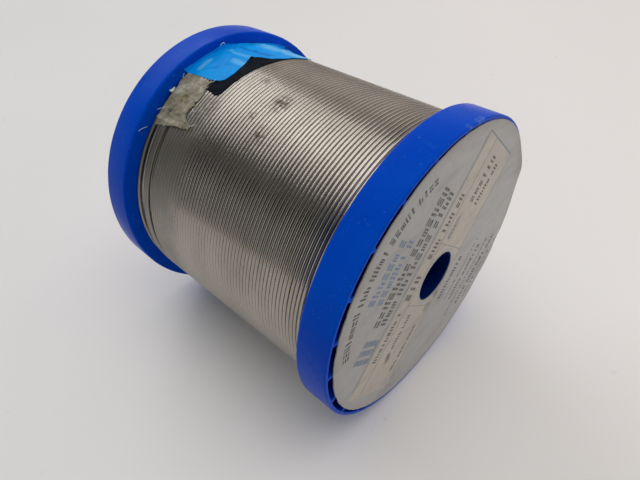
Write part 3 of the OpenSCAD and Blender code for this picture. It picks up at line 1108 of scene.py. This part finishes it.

# Painted highlights and painted shade along the creases of the film:
# lines from (v, angle) to (v, angle), with their tone (above 0 painted highlight, below 0 painted
# shade) and half width in millimetres
painted_crease_lights = [
    ((-1.8, -16.8), (-1.4, -11.2), 0.9, 0.7), ((-6.1, -5.9), (-9.5, -5.7), 0.8, 1.0),
    ((-1.0, -1.4), (-7.9, -0.3), 0.7, 0.5), ((-1.6, 4.0), (-9.6, 6.8), -0.9, 0.8),
    ((-5.7, 5.4), (-10.9, 9.1), -0.8, 0.3), ((-3.5, 16.5), (-12.9, 21.8), 1.0, 2.6),
    ((-5.0, -13.0), (-4.0, -8.0), -0.5, 1.2), ((0.4, -15.0), (0.3, -4.0), -0.4, 0.5),
]
# The attribute "stretch" holds the painted crease highlights and painted crease shade
shade = blue.data.attributes.new("stretch", "FLOAT", "POINT")
for vert, value in zip(blue.data.vertices, shade.data):
    u = math.atan2(vert.co.x, vert.co.z) * tape_r / MM
    v = (vert.co.y - inside_w + math.hypot(vert.co.x, vert.co.z) - blue_r) / MM
    value.value = sum(tone * math.exp(-(from_line(u, v, start, end) / width) ** 2)
                      for start, end, tone, width in painted_crease_lights)
blue_film, tree, shader = new_material("light_blue_film")
tint = noise_of(tree, 140.0, 5.0, 0.6)
rubbed = noise_of(tree, 420.0, 6.0, 0.72, (1.0, 0.5, 1.0))
colour = ramp_of(tree, tint, [(0.3, (0.001, 0.30, 0.86)), (0.7, (0.002, 0.38, 0.98))])
colour = mix_of(tree, ramp_of(tree, rubbed, [(0.52, 0.0), (0.74, 0.5)]), colour, (0.02, 0.44, 0.96))
# Painted crease highlights lighten the film and painted crease shade darkens it
crease_light_and_shade = add_node(tree, "ShaderNodeAttribute", attribute_name="stretch").outputs["Fac"]
colour = mix_of(tree, ramp_of(tree, crease_light_and_shade, [(0.15, 0.0), (1.0, 0.75)]), colour, (0.20, 0.61, 0.98))
painted_crease_shade = ramp_of(tree, times(tree, crease_light_and_shade, -1.0), [(0.15, 0.0), (0.9, 0.8)])
colour = mix_of(tree, painted_crease_shade, colour, (0.001, 0.19, 0.66))
satin = ramp_of(tree, tint, [(0.3, 0.32), (0.7, 0.48)])
coat(tree, shader, colour, satin, rubbed, 0.2, 0.00008, 0.05)
shader.inputs["Specular Tint"].default_value = (0.05, 0.5, 1.0, 1.0)
finish(blue, blue_film, ["blue_tape"])


# ---------------------------------------------------------------------------
# Masking tape: an old torn scrap of crepe paper that covers the last turns. It
# has dried out, wrinkled and split into fibres along its tears.
# ---------------------------------------------------------------------------
masking_outline = [
    (-11.4, -41.4), (-6.6, -43.0), (-1.8, -45.2), (-1.3, -43.0), (-1.1, -33.0),
    (-0.5, -30.5), (-0.9, -28.0), (-0.3, -26.0), (-0.3, -20.0), (-3.2, -18.8),
    (-5.7, -18.6), (-7.6, -19.6), (-8.4, -24.4), (-8.9, -28.0), (-8.6, -33.0),
    (-8.1, -36.0), (-9.2, -38.0), (-11.2, -39.6),
]


def masking_place(u, v):
    crepe = math.sin(u * 7.0 + 2.5 * noise.noise(Vector((u * 0.8, v * 0.5, 0.0))))
    crumple = noise.noise(Vector((u * 0.9, v * 0.9, 5.0)))
    crumple += 0.5 * noise.noise(Vector((u * 2.4, v * 2.4, 8.0)))
    angle = math.degrees(u * MM / tape_r)
    fold = math.exp(-((angle + 42.6) / 1.0) ** 2) * smooth((v + 11.5) / 2.0)
    lift = 0.04 + 0.035 * crepe + 0.13 * max(0.0, crumple + 0.25) + 0.35 * fold
    lift *= smooth((-19.5 - angle) / 3.0)
    return round_winding(u, v, tape_r + lift * MM)


masking = torn_sheet("masking_tape_scrap", masking_outline, 0.42, 0.28, masking_place)
modify(masking, "SOLIDIFY", thickness=0.10 * MM, offset=1.0)
crepe_paper, tree, shader = new_material("aged_crepe_paper")
age = noise_of(tree, 300.0, 6.0, 0.72)
fibre = noise_of(tree, 1400.0, 4.0, 0.7, (1.0, 0.25, 1.0))
colour = ramp_of(tree, age, [(0.36, (0.09, 0.07, 0.045)), (0.45, (0.27, 0.245, 0.175)),
                             (0.56, (0.37, 0.34, 0.265)), (0.66, (0.60, 0.58, 0.50))])
blush = ramp_of(tree, noise_of(tree, 330.0, 3.0), [(0.48, 0.0), (0.62, 0.2)])
colour = mix_of(tree, blush, colour, (0.30, 0.30, 0.10))
colour = mix_of(tree, 1.0, colour, ramp_of(tree, fibre, [(0.3, 0.72), (0.65, 1.0)]), "MULTIPLY")
dull = ramp_of(tree, fibre, [(0.3, 0.75), (0.7, 0.9)])
coat(tree, shader, colour, dull, fibre, 0.5, 0.00006, 0.2)
finish(masking, crepe_paper, ["masking_tape"])

# Loose paper fibres along the tears, each from (v, angle) and reaching (v, u) millimetres:
# five long thin ones, then a tuft of thicker ones
fibre_starts = [(-0.3, -24.0, 1.5, 0.9), (-11.2, -40.2, -1.1, 1.0), (-7.7, -21.3, -1.0, 1.2),
                (-1.4, -38.0, 0.9, -1.2), (-9.0, -33.5, -1.2, -0.5)]
fibre_starts += [(-0.35 - 0.10 * k, -29.0 - 0.3 * k, 0.1, -1.4 + 0.15 * k) for k in range(6)]
thin, thick = 0.055 * MM, 0.09 * MM
fibres = []
for number, (v, angle, reach_v, reach_u) in enumerate(fibre_starts):
    path = []
    for k in range(7):
        t = k / 6
        wave = 0.35 * noise.noise(Vector((number * 3.1, t * 2.0, 0.5)))
        v_here = min(v + reach_v * t + wave * t, -0.12)
        path.append(round_winding(math.radians(angle) * tape_r / MM + reach_u * t, v_here,
                                  tape_r + (0.16 + 0.5 * t * abs(math.sin(number + 2.0 * t))) * MM))
    fibres.append(swept_tube("paper_fibre_%02d" % number, path, thin if number < 5 else thick, 6))


def stray_hair(name, angle, sweep, deep, fall, bow, stand, hump, radius):
    """Hair on the flange's inner face: degrees from the top, then millimetres in from the rim."""
    path = []
    for k in range(10):
        t = k / 9
        turn = math.radians(angle + sweep * t)
        arch = math.sin(math.pi * t)
        r = flange_r - (deep + fall * t - bow * arch) * MM
        y = inside_w - (stand + hump * arch) * MM
        path.append(Vector((r * math.sin(turn), y, r * math.cos(turn))))
    fibres.append(swept_tube(name, path, radius, 6))


stray_hair("lint_curl", -3.2, 2.4, 1.45, 0.0, 0.5, 0.12, 0.25, thick)
stray_hair("stray_hair", -50.6, 2.8, 0.75, 1.6, 0.25, 0.09, 0.0, thin)
select_only(*fibres)
bpy.ops.object.join()
fibres[0].name = "paper_fibres"
pale_fibre, tree, shader = new_material("pale_fibre")
grain = noise_of(tree, 2500.0, 3.0)
pale = ramp_of(tree, grain, [(0.3, (0.68, 0.75, 0.80)), (0.7, (0.86, 0.93, 0.98))])
coat(tree, shader, pale, 0.8, grain, 0.2, 0.00002)
fibres[0].data.materials.clear()
fibres[0].data.materials.append(pale_fibre)
select_only(fibres[0])
bpy.ops.object.shade_smooth()
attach(fibres[0], "root")
